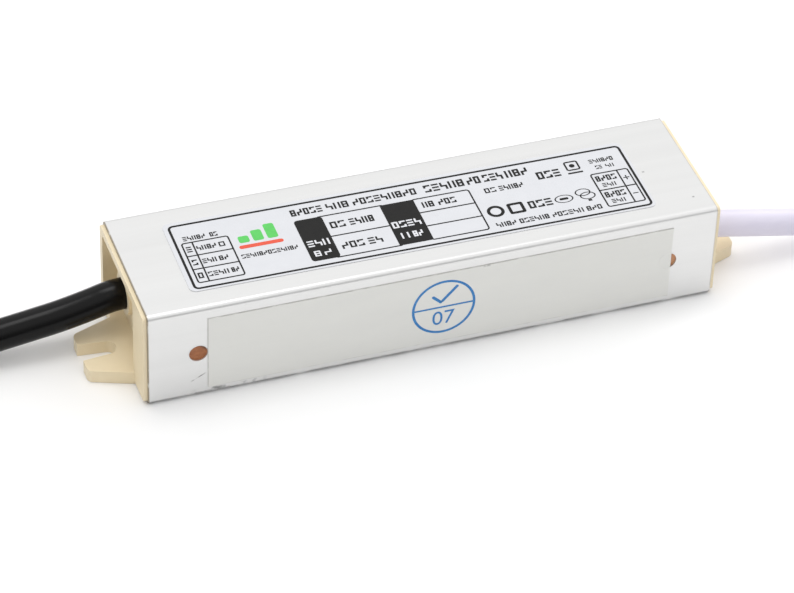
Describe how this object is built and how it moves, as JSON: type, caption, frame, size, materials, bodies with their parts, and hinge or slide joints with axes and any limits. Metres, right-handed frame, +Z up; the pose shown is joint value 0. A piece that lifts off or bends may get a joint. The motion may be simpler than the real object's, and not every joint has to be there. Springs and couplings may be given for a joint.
{
  "type": "led driver",
  "caption": "Potted LED driver in an extruded aluminium tube, with moulded end caps that have slotted mounting ears, a black mains lead and a white output lead.",
  "frame": {"origin": "middle of the flat bottom of the tube, between the two ears", "axes": "+X along the tube from the mains end to the output end, +Y to the back, away from the wall with the filling holes, +Z up from the bottom to the rating label"},
  "size_m": [0.3228, 0.0657, 0.0236],
  "materials": {
    "aluminium": "satin anodised extrusion",
    "cap_plastic": "cream moulded plastic",
    "label_film": "silvery printed film",
    "side_film": "matt grey film",
    "resin": "cured copper-brown resin",
    "sleeve_film": "folded insulating film",
    "board": "solder resist on fibreglass",
    "black_moulding": "moulded",
    "white_moulding": "moulded",
    "blue_coating": "dipped coating",
    "yellow_case": "smooth",
    "ferrite": "sintered",
    "copper_wire": "enamelled",
    "can_sleeve": "shrink sleeve",
    "chip_parts": "ceramic",
    "brown_core": "smooth insulation",
    "blue_core": "smooth insulation",
    "earth_core": "striped insulation",
    "black_sheath": "satin",
    "white_sheath": "satin",
    "tinned_wire": "tinned strands"
  },
  "bodies": {
    "root": {"housing": "aluminium", "input_end_cap": "cap_plastic", "output_end_cap": "cap_plastic", "rating_label": "label_film", "side_film": "side_film", "potting_resin": "resin", "insulation_sleeve": "sleeve_film", "circuit_board": "board", "fuse": "black_moulding", "surge_suppressor": "blue_coating", "box_film_capacitor": "yellow_case", "bridge_rectifier": "black_moulding", "choke_base": "black_moulding", "choke_core": "ferrite", "choke_windings": "copper_wire", "storage_capacitor": "can_sleeve", "transformer_bobbin": "black_moulding", "transformer_winding": "yellow_case", "transformer_core": "ferrite", "controller_chip": "black_moulding", "switching_transistor": "black_moulding", "surface_parts": "chip_parts", "safety_capacitor": "blue_coating", "optical_coupler": "white_moulding", "output_diode": "black_moulding", "output_capacitors": "can_sleeve", "output_coil": "ferrite", "input_live_tail": "brown_core", "input_neutral_tail": "blue_core", "input_earth_tail": "earth_core", "output_plus_tail": "brown_core", "output_minus_tail": "blue_core", "input_cord": "black_sheath", "output_cord": "white_sheath", "input_live_end": "brown_core", "input_neutral_end": "blue_core", "input_earth_end": "earth_core", "output_plus_end": "brown_core", "output_minus_end": "blue_core", "input_core_tips": "tinned_wire", "output_core_tips": "tinned_wire"}
  },
  "joints": []
}
